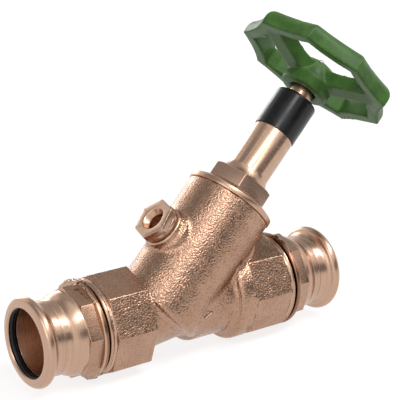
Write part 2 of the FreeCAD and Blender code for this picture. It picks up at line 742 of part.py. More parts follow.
# Bonnet, drawn along Z and stood on the branch, as is everything that follows.
bonnet = new_piece("bonnet")
on_branch(bonnet)
joint = dim("barrel_top")
bonnet_spigot = dim("bonnet_thread_radius") - dim("thread_gap")
flange_end = joint + dim("flange_length") + dim("flange_cone_length")
bonnet_hex_end = flange_end + dim("bonnet_hex_length")
flare_end = bonnet_hex_end + dim("flare_length")
bonnet_groove = bonnet_spigot - dim("bonnet_ring_cord")
bonnet_groove_width = dim("bonnet_ring_cord") + 0.4
journal_bore = dim("journal_radius") + dim("running_gap")
bush_bore = dim("bush_radius") + dim("thread_gap")
bush_start = dim("tail_end_station") - dim("bush_length")
turned(bonnet, "outside", [
    (thread_end, 0),
    (thread_end, bonnet_spigot - edge),
    (thread_end + edge, bonnet_spigot),
    (joint - bonnet_groove_width, bonnet_spigot),
    (joint - bonnet_groove_width, bonnet_groove),
    (joint, bonnet_groove),
    (joint, dim("flange_radius")),
    (joint + dim("flange_length"), dim("flange_radius")),
    (flange_end, dim("bonnet_flats") / 2 / cosine(30)),
    (flange_end, dim("bonnet_flats") / 2 - 0.5),
    (bonnet_hex_end, dim("bonnet_flats") / 2 - 0.5),
    (bonnet_hex_end, dim("flare_radius"), dim("flare_length") * 2.4),
    (flare_end, dim("neck_radius")),
    (dim("neck_end_station"), dim("neck_radius")),
    (dim("neck_end_station"), dim("tail_radius")),
    (dim("tail_end_station"), dim("tail_radius")),
    (dim("tail_end_station"), 0),
])
prism(bonnet, "hexagon", "XY_Plane", dim("bonnet_flats"), 6, -dim("bonnet_turn"), flange_end,
      dim("bonnet_hex_length"))
corner_cut(bonnet, "hexagon_corners", dim("bonnet_flats"), 6, bonnet_hex_end, -1,
           rise=dim("bonnet_corner_break"))
turned(bonnet, "spindle_bore", [
    (thread_end - 1, 0),
    (thread_end - 1, dim("thrust_collar_radius") + 0.3),
    (dim("thrust_station"), dim("thrust_collar_radius") + 0.3),
    (dim("thrust_station"), journal_bore),
    (bush_start, journal_bore),
    (bush_start, bush_bore),
    (dim("tail_end_station") + 1, bush_bore),
    (dim("tail_end_station") + 1, 0),
], cut=True)
prism(bonnet, "guide", "XY_Plane", dim("guide_flats"), 6, -dim("bonnet_turn"), thread_end,
      dim("guide_end_station") - thread_end, cut=True)

bonnet_seal = new_piece("bonnet_seal")
on_branch(bonnet_seal)
ring(bonnet_seal, "cord", dim("bonnet_thread_radius") - dim("bonnet_ring_cord") / 2, dim("bonnet_ring_cord"),
     joint - bonnet_groove_width / 2)

neck_sleeve = new_piece("neck_sleeve")
on_branch(neck_sleeve)
sleeve = dim("sleeve_radius")
sleeve_round = dim("sleeve_round")
wiper_bore = dim("wiper_radius") + dim("thread_gap")
turned(neck_sleeve, "section", [
    (dim("neck_end_station"), dim("tail_radius") + dim("thread_gap")),
    (dim("neck_end_station"), sleeve),
    (dim("sleeve_end_station") - sleeve_round, sleeve, -sleeve_round),
    (dim("sleeve_end_station"), sleeve - sleeve_round),
    (dim("sleeve_end_station"), wiper_bore),
    (dim("tail_end_station"), wiper_bore),
    (dim("tail_end_station"), dim("tail_radius") + dim("thread_gap")),
])

flat_ring("wiper_ring", on_branch, journal_bore + 0.05, dim("wiper_radius"), dim("tail_end_station"),
          dim("wiper_length"))
flat_ring("spindle_bush", on_branch, journal_bore, dim("bush_radius"), bush_start, dim("bush_length"))
flat_ring("thrust_washer", on_branch, journal_bore + 0.1, dim("thrust_collar_radius"),
          dim("thrust_station") - dim("thrust_washer_thickness"), dim("thrust_washer_thickness"))

# Spindle with its thread, collar, seal grooves and square, and the two seals that turn with it.
spindle = new_piece("spindle")
on_branch(spindle)
collar_top = dim("thrust_station") - dim("thrust_washer_thickness")
ring_cord = dim("spindle_ring_cord")
groove_floor = dim("journal_radius") - ring_cord
square_end = dim("square_station") + dim("square_length")
screw = dim("screw_radius")
grooves = []
for station in (dim("first_ring_station"), dim("first_ring_station") + dim("ring_spacing")):
    grooves += [
        (station - ring_cord * 0.6, dim("journal_radius")),
        (station - ring_cord * 0.6, groove_floor),
        (station + ring_cord * 0.6, groove_floor),
        (station + ring_cord * 0.6, dim("journal_radius")),
    ]
turned(spindle, "turned_part", [
    (dim("spindle_foot_station"), 0),
    (dim("spindle_foot_station"), screw - edge),
    (dim("spindle_foot_station") + edge, screw),
    (collar_top - dim("thrust_collar_length"), screw),
    (collar_top - dim("thrust_collar_length"), dim("thrust_collar_radius")),
    (collar_top, dim("thrust_collar_radius")),
    (collar_top, dim("journal_radius")),
] + grooves + [
    (dim("square_station"), dim("journal_radius")),
    (dim("square_station"), 0),
])
prism(spindle, "square", "XY_Plane", dim("square_flats"), 4, dim("wheel_turn"), dim("square_station"),
      dim("square_length"))
tapped = dim("wheel_screw_radius") + dim("thread_gap")
turned(spindle, "tapped_hole", [
    (square_end - dim("wheel_screw_length") - 1, 0),
    (square_end - dim("wheel_screw_length") - 1, tapped),
    (square_end + 1, tapped),
    (square_end + 1, 0),
], cut=True)

spindle_rings = new_piece("spindle_rings")
on_branch(spindle_rings)
rings_sketch = new_sketch(spindle_rings, "cords", "XZ_Plane")
for station in (dim("first_ring_station"), dim("first_ring_station") + dim("ring_spacing")):
    circle(rings_sketch, ring_cord / 2, dim("journal_radius") - ring_cord / 2 + 0.02, station)
turn_profile(spindle_rings, "rings", rings_sketch, "V_Axis")

# Closing disc: the carrier slides in the bonnet's hexagonal guide and is drawn up by the spindle's thread.
seat_disc_start = dim("seat_station") + dim("seat_gap")
head_start = seat_disc_start + dim("seat_disc_thickness")
head_end = head_start + dim("head_length")
guide_end = head_end + dim("guide_length")
disc_carrier = new_piece("disc_carrier")
on_branch(disc_carrier)
disc_screw_bore = dim("disc_screw_radius") + dim("thread_gap")
carrier_bore = screw + dim("running_gap")
turned(disc_carrier, "turned_part", [
    (seat_disc_start, 0),
    (seat_disc_start, dim("spigot_radius")),
    (head_start, dim("spigot_radius")),
    (head_start, dim("head_radius")),
    (head_end - 1.5, dim("head_radius")),
    (head_end, dim("head_radius") - 1.5),
    (head_end, dim("carrier_tube_radius")),
    (dim("carrier_end_station") - edge, dim("carrier_tube_radius")),
    (dim("carrier_end_station"), dim("carrier_tube_radius") - edge),
    (dim("carrier_end_station"), 0),
])
prism(disc_carrier, "guide", "XY_Plane", dim("guide_flats") - dim("slip_gap") * 2, 6, -dim("bonnet_turn"),
      head_end - 0.5, dim("guide_length") + 0.5)
turned(disc_carrier, "thread_bore", [
    (dim("carrier_bore_station"), 0),
    (dim("carrier_bore_station"), carrier_bore),
    (dim("carrier_end_station") + 1, carrier_bore),
    (dim("carrier_end_station") + 1, 0),
], cut=True)
disc_washer_start = seat_disc_start - dim("disc_washer_thickness")
turned(disc_carrier, "screw_hole", [
    (seat_disc_start - 1, 0),
    (seat_disc_start - 1, disc_screw_bore),
    (disc_washer_start + dim("disc_screw_length") + 0.2, disc_screw_bore),
    (disc_washer_start + dim("disc_screw_length") + 0.2, 0),
], cut=True)

flat_ring("seat_disc", on_branch, dim("spigot_radius") + dim("thread_gap"), dim("seat_disc_radius"),
          seat_disc_start, dim("seat_disc_thickness"))
flat_ring("disc_washer", on_branch, disc_screw_bore, dim("disc_washer_radius"), disc_washer_start,
          dim("disc_washer_thickness"))

disc_screw = new_piece("disc_screw")
on_branch(disc_screw)
turned(disc_screw, "shank", [
    (disc_washer_start - 0.5, 0),
    (disc_washer_start - 0.5, dim("disc_screw_radius")),
    (disc_washer_start + dim("disc_screw_length"), dim("disc_screw_radius")),
    (disc_washer_start + dim("disc_screw_length"), 0),
])
prism(disc_screw, "head", "XY_Plane", dim("disc_screw_flats"), 6, 0, disc_washer_start - dim("disc_screw_head"),
      dim("disc_screw_head"))

# Handwheel: hollow-sided rim, three spokes and a hub with a square hole.
handwheel = new_piece("handwheel")
on_branch(handwheel)
rim_top = dim("rim_station") + dim("rim_height")


def hollow_polygon(radius):
    """A polygon whose sides are hollowed by shallow arcs."""
    half_side = radius * sine(size(180) / dim("rim_sides"))
    hollow = dim("scallop")
    side_radius = (half_side * half_side + hollow * hollow) / (hollow * 2)
    sides = int(dim("rim_sides").number)
    return [(radius * cosine(dim("wheel_turn") + 360 * index / sides),
             radius * sine(dim("wheel_turn") + 360 * index / sides), -side_radius) for index in range(sides)]


rim_sketch = new_sketch(handwheel, "rim_outline", "XY_Plane", lift=dim("rim_station"))
draw(rim_sketch, hollow_polygon(dim("rim_radius")))
extruded(handwheel, "rim", rim_sketch, dim("rim_height"))
document.recompute()


def edges_of(body, wanted):
    """Names of the edges of the body's tip, in its own frame, that the test picks."""
    shape = body.Tip.Shape
    return [f"Edge{index + 1}" for index, edge_shape in enumerate(shape.Edges) if wanted(edge_shape)]


rim_shell = handwheel.Tip
top_edges = edges_of(handwheel, lambda e: all(abs(v.Z - rim_top.number) < 0.01 for v in e.Vertexes))
rim_rounding = handwheel.newObject("PartDesign::Fillet", "rim_rounding")
rim_rounding.Base = (rim_shell, top_edges)
rim_rounding.setExpression("Radius", "Sizes.rim_round")
document.recompute()

inner_sketch = new_sketch(handwheel, "rim_inside_outline", "XY_Plane", lift=dim("rim_station") - 1)
draw(inner_sketch, hollow_polygon(dim("rim_radius") - dim("rim_width")))
extruded(handwheel, "rim_inside", inner_sketch, dim("rim_height") + 2, cut=True)

spoke_sections = []
half_spoke = dim("spoke_width") / 2
for place, reach, under, height in (
        ("hub", dim("hub_mouth_radius"), dim("spoke_hub_station"), dim("spoke_hub_height")),
        ("rim", dim("rim_radius") - dim("rim_width") + 1.5, dim("spoke_rim_station"), dim("spoke_rim_height"))):
    section = tilted_sketch(handwheel, f"spoke_at_{place}", "YZ_Plane", "y", dim("wheel_turn"), reach)
    wide = half_spoke + dim("spoke_flare")
    draw(section, [
        (-half_spoke, under),
        (half_spoke, under),
        (wide, under + height),
        (-wide, under + height),
    ])
    spoke_sections.append(section)
spoke = handwheel.newObject("PartDesign::AdditiveLoft", "spoke")
spoke.Profile = spoke_sections[0]
spoke.Sections = spoke_sections[1:]
spoke.Ruled = True
inner_corner = dim("rim_radius") - dim("rim_width")
gusset_end = inner_corner - dim("gusset_spread") * 0.36
spread = dim("gusset_spread")
gusset_sketch = new_sketch(handwheel, "gusset_outline", "XY_Plane", lift=dim("gusset_station"),
                           angle=dim("wheel_turn"))
draw(gusset_sketch, [
    (dim("gusset_start"), half_spoke - 0.3),
    (dim("gusset_start"), -half_spoke + 0.3, -dim("gusset_hollow")),
    (gusset_end - 0.8, -spread),
    (gusset_end + 2, -spread),
    (inner_corner + 1.5, 0),
    (gusset_end + 2, spread),
    (gusset_end - 0.8, spread, -dim("gusset_hollow")),
])
gusset = extruded(handwheel, "gussets", gusset_sketch, dim("gusset_thickness"))
around(handwheel, "spokes", [spoke, gusset], dim("spoke_count"))

hub_collar_end = dim("hub_station") + dim("hub_collar_length")
turned(handwheel, "hub", [
    (dim("hub_station"), 0),
    (dim("hub_station"), dim("hub_radius") - 1, -1),
    (dim("hub_station") + 1, dim("hub_radius")),
    (hub_collar_end, dim("hub_radius")),
    (hub_collar_end + 1.6, dim("hub_waist_radius")),
    (dim("hub_top_station"), dim("hub_top_radius")),
    (dim("hub_top_station"), 0),
])
turned(handwheel, "hub_recess", [
    (dim("hub_station") - 1, 0),
    (dim("hub_station") - 1, dim("hub_mouth_radius")),
    (dim("square_station"), dim("hub_mouth_radius")),
    (dim("square_station"), 0),
], cut=True)
prism(handwheel, "square_hole", "XY_Plane", dim("square_flats") + dim("slip_gap") * 2, 4, dim("wheel_turn"),
      dim("square_station") - 1, dim("hub_top_station") - dim("square_station") + 2, cut=True)

wheel_washer_end = dim("hub_top_station") + dim("wheel_washer_thickness")
flat_ring("handwheel_washer", on_branch, tapped, dim("wheel_washer_radius"), dim("hub_top_station"),
          dim("wheel_washer_thickness"))

handwheel_screw = new_piece("handwheel_screw")
on_branch(handwheel_screw)
head = dim("wheel_screw_head_radius")
head_height = dim("wheel_screw_head_height")
crown = (head * head + head_height * head_height) / (head_height * 2)
turned(handwheel_screw, "screw", [
    (square_end - dim("wheel_screw_length"), 0),
    (square_end - dim("wheel_screw_length"), dim("wheel_screw_radius")),
    (wheel_washer_end, dim("wheel_screw_radius")),
    (wheel_washer_end, head, crown),
    (wheel_washer_end + head_height, 0),
])
prism(handwheel_screw, "recess", "XY_Plane", dim("recess_flats"), 6, dim("wheel_turn"),
      wheel_washer_end + head_height - dim("recess_depth"), dim("recess_depth") + 1, cut=True)

document.recompute()
broken = [item.Label for item in document.Objects if "Invalid" in item.State or "Error" in item.State]
broken += [body.Label for body in pieces if body.Shape.isNull() or not body.Shape.isValid()]
if broken:
    raise RuntimeError("these did not build: " + ", ".join(broken))

os.makedirs("parts", exist_ok=True)
for body in pieces:
    body.Shape.exportStep(f"parts/{body.Label}.step")
    print(body.Label, len(body.Shape.Solids), round(body.Shape.Volume, 1))
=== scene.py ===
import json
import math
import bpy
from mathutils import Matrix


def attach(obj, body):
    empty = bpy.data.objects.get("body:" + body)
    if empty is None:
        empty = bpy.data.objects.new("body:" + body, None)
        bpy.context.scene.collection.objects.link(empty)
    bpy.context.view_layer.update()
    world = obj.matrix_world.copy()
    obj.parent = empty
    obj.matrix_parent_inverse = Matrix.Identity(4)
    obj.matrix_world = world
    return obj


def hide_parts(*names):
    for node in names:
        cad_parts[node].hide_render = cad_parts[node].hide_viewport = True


bl_info = {
    "name": "Slanted-seat valve",
    "version": (1, 0, 0),
    "blender": (4, 5, 0),
    "location": "View3D > Sidebar > Valve",
    "description": "Cast skin, turned finishes, moulded wheel and studio for a slanted-seat valve",
    "category": "Object",
}

import bpy
import numpy as np
from bpy.props import FloatProperty, FloatVectorProperty, IntProperty, PointerProperty
from mathutils import Matrix, Vector

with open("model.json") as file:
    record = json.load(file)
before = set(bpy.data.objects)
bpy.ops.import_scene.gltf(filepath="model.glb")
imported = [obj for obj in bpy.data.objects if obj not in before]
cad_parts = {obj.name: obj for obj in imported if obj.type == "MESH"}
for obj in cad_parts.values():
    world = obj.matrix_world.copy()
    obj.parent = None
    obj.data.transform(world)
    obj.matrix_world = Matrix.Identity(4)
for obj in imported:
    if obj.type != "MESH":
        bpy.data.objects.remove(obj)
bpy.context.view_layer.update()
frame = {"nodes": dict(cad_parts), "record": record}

# Lengths below are in millimetres from the crossing, the point where the branch meets the run.
MM = 0.001
CROSSING = Vector((40.7, 0.0, 0.0)) * MM
LEAN = math.radians(45)
UP_BRANCH = Vector((1, 0, 1)).normalized()
END_CENTRE, END_FACE = 12.05, 48.45
END_BAND, TOP_BAND = 3.0, 0.95

BARREL_RADIUS, BARREL_FOOT, BARREL_TOP = 19.9, -2.5, 56.4
BOSS_STATION, BOSS_FACE, BOSS_FOOT_RADIUS, BOSS_FOOT_REACH = 28.3, 22.6, 11.2, 19.7
BODY_FLATS = 41.0
OCTAGONS = ((-33.4, -14.2), (38.3, 57.5))
NECKS = ((-14.2, 16.9), (-12.4, 15.7), (8.0, 13.6), (9.5, 13.6), (12.8, 16.9), (28.5, 16.9),
         (30.9, 19.1), (33.4, 20.9), (38.3, 20.9))
BORE_CLEAR, RUN_OUTSIDE = 13.3, 16
# cast_body shows on the barrel's top, and cast_fillets below it, where cast_body is sunk a little.
BARE_TOP, SINK = 3, 0.2
JOIN_CLEAR = 1.2
FILLET_INSET = 0.06
FILLET_PASSES = ((1, 14), (0.7, 16), (0.45, 12))  # share of the fillet's reach, and repeats

# Adapters, measured outward from the body's end face
COLLAR = (1.9, 2.6)
ADAPTER_OCTAGON = (3.0, 8.7)
ADAPTER_SKIN_RADIUS = (17.2, 17.6)

# Handwheel, measured along the branch and out from its axis
WHEEL_TURN, SPOKE_HALF = 125.0, 5.7
SPOKE_TOP, WEB_FOOT = 126, 127
WEB_START, WEB_END, WEB_REACH = 12.5, 29, 15
SCREW_HEAD, SCREW_RIM, SCREW_RADIUS, SCREW_ROUND = 132.1, 134.1, 4, 2.2

# Angles in degrees
FLAT_ANGLE = 0.4
BODY_CREASE, TURNED_CREASE, SCREW_CREASE = 26, 28, 60

# Studio, in metres. Lamps and cards: name, size and place, and a card's glow
MIDDLE = Vector((0.08, 0, 0.04))
FLOOR_PLACE = (0.08, 0, -0.0215)
FLOOR_FADE = (0.35, 0.8, 0.80, 0.92)  # the floor's glow goes from 0.80 to 0.92 with distance
CAMERA_PLACE = CROSSING + Vector((-320.4, -477.6, 201.6)) * MM
CAMERA_RIGHT = Vector((0.8051, -0.5923, -0.0321))
CAMERA_DOWN = Vector((-0.1786, -0.1905, -0.9653))
CAMERA_FORWARD = Vector((0.5656, 0.7829, -0.2591))
LAMPS = (("key", (0.95, 0.22), (0.22, -0.43, 0.64)),
         ("fill", (0.5, 0.5), (-0.6, -0.35, 0.4)),
         ("back", (0.5, 0.3), (0.2, 0.9, 0.25)))
CARDS = (("ceiling_flag", (1.5, 1.5), (0.65, 0.6, 1.05), 0.5),
         ("left_ceiling_flag", (1.2, 1.0), (-0.55, 0.32, 1.0), 0.36),
         ("front_flag", (1.8, 0.5), (0.5, -1.0, 0.17), 0.16))
WHITE = (1, 1, 1, 1)
SENSOR_WIDTH = 36  # millimetres


def length_slider(name, description, default, low, high):
    return FloatProperty(name=name, description=description, subtype="DISTANCE", unit="LENGTH",
                         default=default, min=low, max=high)


def colour_field(name, description, default):
    return FloatVectorProperty(name=name, description=description, subtype="COLOR",
                               default=default, min=0, max=1)


def power_slider(name, default):
    return FloatProperty(name=name, description="Power in watts", unit="POWER", default=default,
                         min=0)


class ValveShapes(bpy.types.PropertyGroup):
    cast_grain: length_slider("Casting mesh", "Mesh size of the cast body", 0.00066, 0.0005, 0.003)
    cast_fillet: length_slider("Casting fillet",
                               "Reach of the blends where the branch meets the run",
                               0.0026, 0, 0.0028)
    wheel_grain: length_slider("Wheel mesh", "Mesh size of the handwheel", 0.00045, 0.0003, 0.002)
    wheel_softness: IntProperty(name="Wheel softness", default=8, min=0, max=40,
                                description="How far the handwheel's edges are rounded")
    edge_round: length_slider("Turned edges", "Rounding of machined edges", 0.0002, 0, 0.001)


class ValveColours(bpy.types.PropertyGroup):
    cast: colour_field("Cast bronze", "Skin of the casting", (0.46, 0.285, 0.2))
    turned: colour_field("Turned bronze", "Machined faces", (0.54, 0.355, 0.258))
    deep: colour_field("Shaded bronze", "Grooves and low places", (0.25, 0.115, 0.06))
    wheel: colour_field("Wheel", "Moulded handwheel", (0.075, 0.19, 0.035))
    sleeve: colour_field("Sleeve", "Sleeve on the bonnet's neck", (0.006, 0.006, 0.007))
    rubber: colour_field("Seals", "Rubber rings", (0.008, 0.008, 0.009))
    fibre: colour_field("Thread seals", "Flat seals at the screwed joints", (0.22, 0.09, 0.035))
    steel: colour_field("Steel", "Screws and washers", (0.55, 0.54, 0.52))


class ValveStudio(bpy.types.PropertyGroup):
    focal_length: FloatProperty(name="Focal length", default=127.734, min=20, max=400,
                                description="Lens of the camera, in millimetres")
    key: power_slider("Key lamp", 3.8)
    fill: power_slider("Fill lamp", 1.0)
    back: power_slider("Back lamp", 1.5)
    room: FloatProperty(name="Room light", description="Strength of the light from all round",
                        default=0.3, min=0, max=1)


# Mesh helpers

def select_only(piece):
    bpy.ops.object.select_all(action="DESELECT")
    bpy.context.view_layer.objects.active = piece
    piece.select_set(True)


def copy_of(node, name):
    """A merged copy of a CAD node, as a piece of its own that stands for it."""
    piece = bpy.data.objects.new(name, frame["nodes"][node].data.copy())
    piece.data.name = name
    bpy.context.scene.collection.objects.link(piece)
    select_only(piece)
    bpy.ops.object.mode_set(mode="EDIT")
    bpy.ops.mesh.select_all(action="SELECT")
    bpy.ops.mesh.remove_doubles(threshold=0.000002)
    bpy.ops.object.mode_set(mode="OBJECT")
    piece.data.materials.clear()
    return piece


def apply_modifier(piece, kind, **settings):
    select_only(piece)
    modifier = piece.modifiers.new(kind.lower(), kind)
    for name, value in settings.items():
        setattr(modifier, name, value)
    bpy.ops.object.modifier_apply(modifier=modifier.name)


def clean_faces(piece):
    """Joins the flat triangles of a CAD copy, and splits the faces that aren't convex."""
    select_only(piece)
    bpy.ops.object.mode_set(mode="EDIT")
    bpy.ops.mesh.select_all(action="SELECT")
    bpy.ops.mesh.dissolve_limited(angle_limit=math.radians(FLAT_ANGLE))
    bpy.ops.mesh.vert_connect_concave()
    bpy.ops.object.mode_set(mode="OBJECT")


def select_sharp(piece, angle):
    select_only(piece)
    bpy.ops.object.mode_set(mode="EDIT")
    bpy.ops.mesh.select_mode(type="EDGE")
    bpy.ops.mesh.select_all(action="DESELECT")
    bpy.ops.mesh.edges_select_sharp(sharpness=math.radians(angle))
    bpy.ops.object.mode_set(mode="OBJECT")


def bevel_selected(piece, keep, width, segments, clamp):
    """Rounds the selected edges whose two vertices keep picks."""
    for edge in piece.data.edges:
        edge.select = edge.select and all(keep[index] for index in edge.vertices)
    bpy.ops.object.mode_set(mode="EDIT")
    bpy.ops.mesh.bevel(offset=width, segments=segments, clamp_overlap=clamp, loop_slide=clamp)
    bpy.ops.object.mode_set(mode="OBJECT")


def places(piece):
    """The vertices in millimetres from the crossing, one row each."""
    flat = np.empty(len(piece.data.vertices) * 3)
    piece.data.vertices.foreach_get("co", flat)
    return (flat.reshape(-1, 3) - np.array(CROSSING)) / MM


def move_to(piece, spots):
    piece.data.vertices.foreach_set("co", (spots * MM + np.array(CROSSING)).ravel())
    piece.data.update()


def smooth_where(piece, mask, repeat, factor=0.5):
    """Smooths the vertices that the mask picks."""
    select_only(piece)
    bpy.ops.object.mode_set(mode="EDIT")
    bpy.ops.mesh.select_mode(type="VERT")
    bpy.ops.mesh.select_all(action="DESELECT")
    bpy.ops.object.mode_set(mode="OBJECT")
    piece.data.vertices.foreach_set("select", mask)
    bpy.ops.object.mode_set(mode="EDIT")
    bpy.ops.mesh.vertices_smooth(factor=factor, repeat=repeat)
    bpy.ops.object.mode_set(mode="OBJECT")


def shade(piece, angle):
    select_only(piece)
    bpy.ops.object.shade_smooth_by_angle(angle=math.radians(angle))


def with_round_edges(node, name, body):
    """A copy of a turned CAD node whose hard edges are rounded."""
    piece = copy_of(node, name)
    clean_faces(piece)
    width = bpy.context.scene.valve_shapes.edge_round
    apply_modifier(piece, "BEVEL", width=width, segments=2, limit_method="ANGLE",
                   angle_limit=math.radians(TURNED_CREASE), use_clamp_overlap=False,
                   loop_slide=False)
    shade(piece, 32)
    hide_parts(node)
    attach(piece, body)
    return piece


def off_branch(spots):
    """Station along the branch, distance from its axis, and the part of that in the XZ plane."""
    along = (spots[:, 0] + spots[:, 2]) * math.sqrt(0.5)
    across = (spots[:, 2] - spots[:, 0]) * math.sqrt(0.5)
    return along, np.hypot(across, spots[:, 1]), across


def octagon_gap(spots, start, end):
    """How far each spot is outside one of the body's octagons; less than nothing inside."""
    sides = [spots[:, 1] * math.cos(angle) + spots[:, 2] * math.sin(angle)
             for angle in np.arange(8) * math.pi / 4 + math.pi / 8]
    return np.maximum.reduce([np.maximum.reduce(sides) - BODY_FLATS / 2, spots[:, 0] - end,
                              start - spots[:, 0]])


# Material helpers

class Tree:
    """Adds nodes to a node tree. An input is a number, a tuple or another node's output."""

    def __init__(self, tree):
        self.tree = tree
        self.column = 0

    def add(self, kind, inputs=None, **settings):
        node = self.tree.nodes.new("ShaderNode" + kind)
        self.column += 1
        node.location = (self.column * 60 - 1500, -(self.column % 6) * 160)
        for name, value in settings.items():
            setattr(node, name, value)
        for name, value in (inputs or {}).items():
            self.put(value, node.inputs[name])
        return node

    def put(self, value, socket):
        if isinstance(value, bpy.types.NodeSocket):
            self.tree.links.new(value, socket)
        else:
            socket.default_value = value

    def sum(self, operation, a, b=0.0, clamp=False):
        return self.add("Math", {0: a, 1: b}, operation=operation, use_clamp=clamp).outputs[0]

    def ramp(self, value, low, high, start=0.0, end=1.0):
        """Goes from start to end as the value goes from low to high."""
        return self.add("MapRange", {"Value": value, "From Min": low, "From Max": high,
                                     "To Min": start, "To Max": end},
                        interpolation_type="SMOOTHSTEP").outputs[0]

    def noise(self, place, size, detail=2.0, roughness=0.5):
        """Clouds whose lumps are about size millimetres across."""
        return self.add("TexNoise", {"Vector": place, "Scale": 1 / (size * MM), "Detail": detail,
                                     "Roughness": roughness}).outputs["Fac"]

    def mix(self, factor, a, b, blend="MIX"):
        node = self.add("Mix", data_type="RGBA", blend_type=blend)
        self.put(factor, node.inputs["Factor"])
        for value, socket in ((a, node.inputs[6]), (b, node.inputs[7])):
            self.put((*value, 1) if not isinstance(value, bpy.types.NodeSocket) else value, socket)
        return node.outputs[2]

    def group(self, tree, inputs):
        node = self.add("Group", node_tree=tree)
        for name, value in inputs.items():
            self.put(value, node.inputs[name])
        return node


def new_group(name, inputs, outputs):
    """A shader node group with named sockets, and the Tree that fills it."""
    tree = bpy.data.node_groups.new(name, "ShaderNodeTree")
    for label, kind in inputs:
        tree.interface.new_socket(label, in_out="INPUT", socket_type="NodeSocket" + kind)
    for label, kind in outputs:
        tree.interface.new_socket(label, in_out="OUTPUT", socket_type="NodeSocket" + kind)
    start = tree.nodes.new("NodeGroupInput")
    end = tree.nodes.new("NodeGroupOutput")
    start.location, end.location = (-1700, 0), (1700, 0)
    return tree, Tree(tree), start.outputs, end.inputs


def axis_group():
    """Station along an axis and distance from it, for a place turned so that the axis is X."""
    tree, draw, given, out = new_group("station_and_radius", [("Place", "Vector")],
                                       [("Station", "Float"), ("Radius", "Float")])
    parts = draw.add("SeparateXYZ", {0: given["Place"]}).outputs
    draw.put(parts["X"], out["Station"])
    square = draw.sum("ADD", draw.sum("MULTIPLY", parts["Y"], parts["Y"]),
                      draw.sum("MULTIPLY", parts["Z"], parts["Z"]))
    draw.put(draw.sum("SQRT", square), out["Radius"])
    return tree


def pebble_group():
    """Lumps and pits of a sand-cast skin."""
    tree, draw, given, out = new_group("sand_cast_skin", [("Place", "Vector"), ("Size", "Float")],
                                       [("Height", "Float"), ("Pits", "Float")])
    size = draw.sum("DIVIDE", 1000.0, given["Size"])
    lumps = draw.add("TexNoise", {"Vector": given["Place"], "Scale": size, "Detail": 0.6,
                                  "Roughness": 0.5})
    rougher = draw.ramp(draw.noise(given["Place"], 9.0, 2.0), 0.4, 0.65, 0.8, 1.3)
    draw.put(draw.sum("MULTIPLY", lumps.outputs["Fac"], rougher), out["Height"])
    draw.put(draw.ramp(lumps.outputs["Fac"], 0.46, 0.34), out["Pits"])
    return tree


def lathe_group():
    """Fine rings that a tool leaves, by station and radius."""
    tree, draw, given, out = new_group("lathe_rings", [("Station", "Float"), ("Radius", "Float")],
                                       [("Height", "Float"), ("Streak", "Float")])
    along = draw.sum("ADD", given["Station"], draw.sum("MULTIPLY", given["Radius"], 1.31))
    fine = draw.add("TexNoise", {"W": along, "Scale": 5200.0, "Detail": 2.0},
                    noise_dimensions="1D")
    broad = draw.add("TexNoise", {"W": along, "Scale": 700.0, "Detail": 1.0},
                     noise_dimensions="1D")
    draw.put(fine.outputs["Fac"], out["Height"])
    draw.put(broad.outputs["Fac"], out["Streak"])
    return tree


def wear_sheen_and_shade_group():
    """How sharp and how hollow the surface is, from its own curvature: sharp for paler edges that
    are partly wear and partly painted highlight, hollow for painted shade.
    """
    tree, draw, given, out = new_group("edge_wear", [("Place", "Vector")],
                                       [("Edge", "Float"), ("Hollow", "Float")])
    curve = draw.add("NewGeometry").outputs["Pointiness"]
    patch = draw.noise(given["Place"], 2.5, 3.0, 0.6)
    sharp = draw.ramp(curve, 0.52, 0.62)
    draw.put(draw.sum("MULTIPLY", sharp, draw.ramp(patch, 0.25, 0.6, 0.35, 1.0)), out["Edge"])
    draw.put(draw.ramp(curve, 0.48, 0.40), out["Hollow"])
    return tree


def material(name, roughness, metallic=0.0):
    """A material, its Tree, its Principled shader and the place in metres from the crossing."""
    item = bpy.data.materials.new(name)
    item.use_nodes = True
    draw = Tree(item.node_tree)
    shader = item.node_tree.nodes["Principled BSDF"]
    shader.inputs["Roughness"].default_value = roughness
    shader.inputs["Metallic"].default_value = metallic
    origin = draw.add("TexCoord").outputs["Object"]
    place = draw.add("Mapping", {"Vector": origin, "Location": tuple(-CROSSING)}).outputs[0]
    return item, draw, shader, place


def turned_to_branch(draw, place):
    """The place with the branch's axis brought onto X."""
    return draw.add("Mapping", {"Vector": place, "Rotation": (0.0, LEAN, 0.0)}).outputs[0]


def bump(draw, height, depth, strength=1.0, below=None):
    inputs = {"Height": height, "Strength": strength, "Distance": depth * MM}
    if below is not None:
        inputs["Normal"] = below
    return draw.add("Bump", inputs).outputs[0]


def from_end_face(draw, station):
    """How far a station is beyond the body's end faces, in metres; less than nothing inside."""
    beyond = draw.sum("ABSOLUTE", draw.sum("SUBTRACT", station, END_CENTRE * MM))
    return draw.sum("SUBTRACT", beyond, END_FACE * MM)


def joint_shade(draw, station):
    """Painted shade: a brown band on an adapter's collar next to the body, where the groove lies in
    shade.
    """
    beyond = from_end_face(draw, station)
    start = draw.ramp(beyond, -0.2 * MM, 0.0)
    end = draw.ramp(beyond, COLLAR[0] * MM, COLLAR[1] * MM, 0.85, 0.0)
    return draw.sum("MULTIPLY", start, end)


